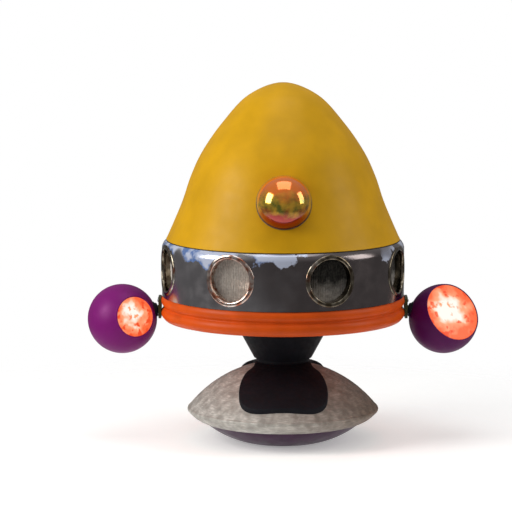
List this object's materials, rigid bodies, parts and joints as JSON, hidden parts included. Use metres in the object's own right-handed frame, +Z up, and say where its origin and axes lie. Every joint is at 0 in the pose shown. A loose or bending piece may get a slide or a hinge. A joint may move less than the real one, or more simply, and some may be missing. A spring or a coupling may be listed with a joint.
{
  "type": "kiddie ride machine",
  "caption": "Coin-operated one-child kiddie ride: a closed bell-domed cabin with portholes and two side lamps, rocking on a black neck over a saucer base.",
  "frame": {"origin": "on the floor, at the centre of the four anchor bolts", "axes": "+Z up; the rider and the nose lens face -Y; +X through the two side lamps"},
  "size_m": [1.644, 1.0326, 1.51],
  "materials": {
    "purple_gelcoat": "moulded glass-fibre hull with a gloss gelcoat",
    "hammered_grey": "pressed steel saucer shell, mottled grey hammered paint",
    "black_cover": "matte black moulded cover",
    "frame_paint": "welded steel, dark grey paint",
    "zinc_steel": "zinc-plated steel fasteners and pins",
    "bronze": "sintered bronze bush",
    "cast_alloy": "cast aluminium gear case",
    "motor_paint": "painted motor body",
    "box_plastic": "moulded electrical box",
    "orange_gelcoat": "orange glass-fibre skirt, gloss gelcoat",
    "plywood": "birch plywood deck",
    "black_rubber": "moulded black rubber",
    "mirror_band": "dark polished chrome sheet",
    "copper_chrome": "polished bezel with a warm tint",
    "ribbed_steel": "vertically ribbed stainless screen",
    "speaker_black": "loudspeaker basket and cone",
    "yellow_gelcoat": "yellow glass-fibre dome, satin gelcoat",
    "orange_mirror": "orange mirror-coated plastic lens",
    "lamp_holder": "lamp holder",
    "magenta_shell": "purple moulded lamp shell, satin",
    "plum_shell": "dark purple moulded lamp shell, satin",
    "glowing_lens": "translucent lit lens, white-hot centre",
    "light_board": "light board on a heat spreader",
    "seat_mould": "orange moulded seat box",
    "black_vinyl": "padded black vinyl",
    "dash_plastic": "textured moulded dashboard",
    "wheel_plastic": "red moulded steering wheel",
    "cap_yellow": "yellow cap",
    "button_red": "red push button",
    "button_green": "green push button",
    "satin_steel": "brushed stainless steel",
    "mech_black": "moulded coin mechanism"
  },
  "bodies": {
    "base": {"base_hull": "purple_gelcoat", "anchor_plate": "frame_paint", "saucer_shell": "hammered_grey", "shell_screws": "zinc_steel", "drive_cover": "black_cover", "pedestal_frame": "frame_paint", "frame_bolts": "zinc_steel", "axle_bushes": "bronze", "gearbox": "cast_alloy", "drive_motor": "motor_paint", "power_box": "box_plastic", "power_inlet": "black_rubber"},
    "crank": {"crank_disc": "zinc_steel"},
    "rod": {"connecting_rod": "frame_paint", "crank_pin": "zinc_steel"},
    "cabin": {"rocker_axle": "zinc_steel", "rocker_column": "frame_paint", "lever_pin": "zinc_steel", "neck_funnel": "black_cover", "floor_deck": "plywood", "deck_bolts": "zinc_steel", "cabin_skirt": "orange_gelcoat", "floor_mat": "black_rubber", "window_band": "mirror_band", "porthole_bezels": "copper_chrome", "porthole_screens": "ribbed_steel", "speakers": "speaker_black", "dome_shell": "yellow_gelcoat", "dome_seal": "black_rubber", "doorway_trim": "black_rubber", "nose_lens": "orange_mirror", "nose_gasket": "copper_chrome", "nose_lamp": "lamp_holder", "lamp_arms": "frame_paint", "seat_base": "seat_mould", "seat_cushion": "black_vinyl", "dashboard": "dash_plastic", "steering_post": "satin_steel", "button_rings": "satin_steel", "coin_housing": "satin_steel", "coin_mech": "mech_black", "doorway_fittings": "satin_steel"},
    "steering": {"steering_wheel": "wheel_plastic", "wheel_cap": "cap_yellow"},
    "horn_key": {"horn_button": "button_red"},
    "light_key": {"light_button": "button_green"},
    "lamp_left": {"left_lamp_shell": "magenta_shell", "left_lamp_lens": "glowing_lens", "left_lamp_board": "light_board"},
    "lamp_right": {"right_lamp_shell": "plum_shell", "right_lamp_lens": "glowing_lens", "right_lamp_board": "light_board"},
    "door": {"door_skin": "mirror_band", "door_frame": "frame_paint", "door_bezel": "copper_chrome", "door_screen": "ribbed_steel", "door_hinges": "satin_steel"},
    "bolt": {"door_bolt": "satin_steel"},
    "coin_reject": {"reject_button": "copper_chrome"},
    "coin_flap": {"return_flap": "satin_steel"}
  },
  "joints": [
    {"name": "cabin_rock", "type": "hinge", "parent": "base", "child": "cabin", "pos_m": [0, 0, 0.345], "axis": [1, 0, 0], "range_deg": [-6, 6]},
    {"name": "crank_spin", "type": "hinge", "parent": "base", "child": "crank", "pos_m": [0.032, -0.215, 0.179], "axis": [1, 0, 0], "continuous": true},
    {"name": "rod_link", "type": "hinge", "parent": "cabin", "child": "rod", "pos_m": [0.015, 0, 0.195], "axis": [1, 0, 0], "range_deg": [-6.5, 6.5]},
    {"name": "steering_spin", "type": "hinge", "parent": "cabin", "child": "steering", "pos_m": [0, -0.22945, 0.95578], "axis": [0, 0.8944, 0.4472], "continuous": true},
    {"name": "horn_press", "type": "slide", "parent": "cabin", "child": "horn_key", "axis": [0, -0.8944, -0.4472], "range_m": [0, 0.004], "stiffness_N_per_m": 600, "springref_m": -0.002},
    {"name": "light_press", "type": "slide", "parent": "cabin", "child": "light_key", "axis": [0, -0.8944, -0.4472], "range_m": [0, 0.004], "stiffness_N_per_m": 600, "springref_m": -0.002},
    {"name": "left_lamp_swivel", "type": "hinge", "parent": "cabin", "child": "lamp_left", "pos_m": [-0.676, 0, 0.514], "axis": [-0.9597, 0, -0.2809], "range_deg": [-60, 60]},
    {"name": "right_lamp_swivel", "type": "hinge", "parent": "cabin", "child": "lamp_right", "pos_m": [0.676, 0, 0.514], "axis": [0.9597, 0, -0.2809], "range_deg": [-60, 60]},
    {"name": "door_swing", "type": "hinge", "parent": "cabin", "child": "door", "pos_m": [-0.22196, 0.46505, 0.73], "axis": [0, 0, 1], "range_deg": [0, 100]},
    {"name": "bolt_slide", "type": "slide", "parent": "door", "child": "bolt", "axis": [0.9069, -0.4213, 0], "range_m": [0, 0.022]},
    {"name": "reject_press", "type": "slide", "parent": "cabin", "child": "coin_reject", "axis": [-0.6088, -0.7934, 0], "range_m": [0, 0.003], "stiffness_N_per_m": 500, "springref_m": -0.002},
    {"name": "flap_swing", "type": "hinge", "parent": "cabin", "child": "coin_flap", "pos_m": [0.31077, 0.40501, 0.6995], "axis": [-0.7934, 0.6088, 0], "range_deg": [0, 30]}
  ],
  "couplings": [
    {"joint": "rod_link", "follows": "cabin_rock", "ratio": -1}
  ]
}
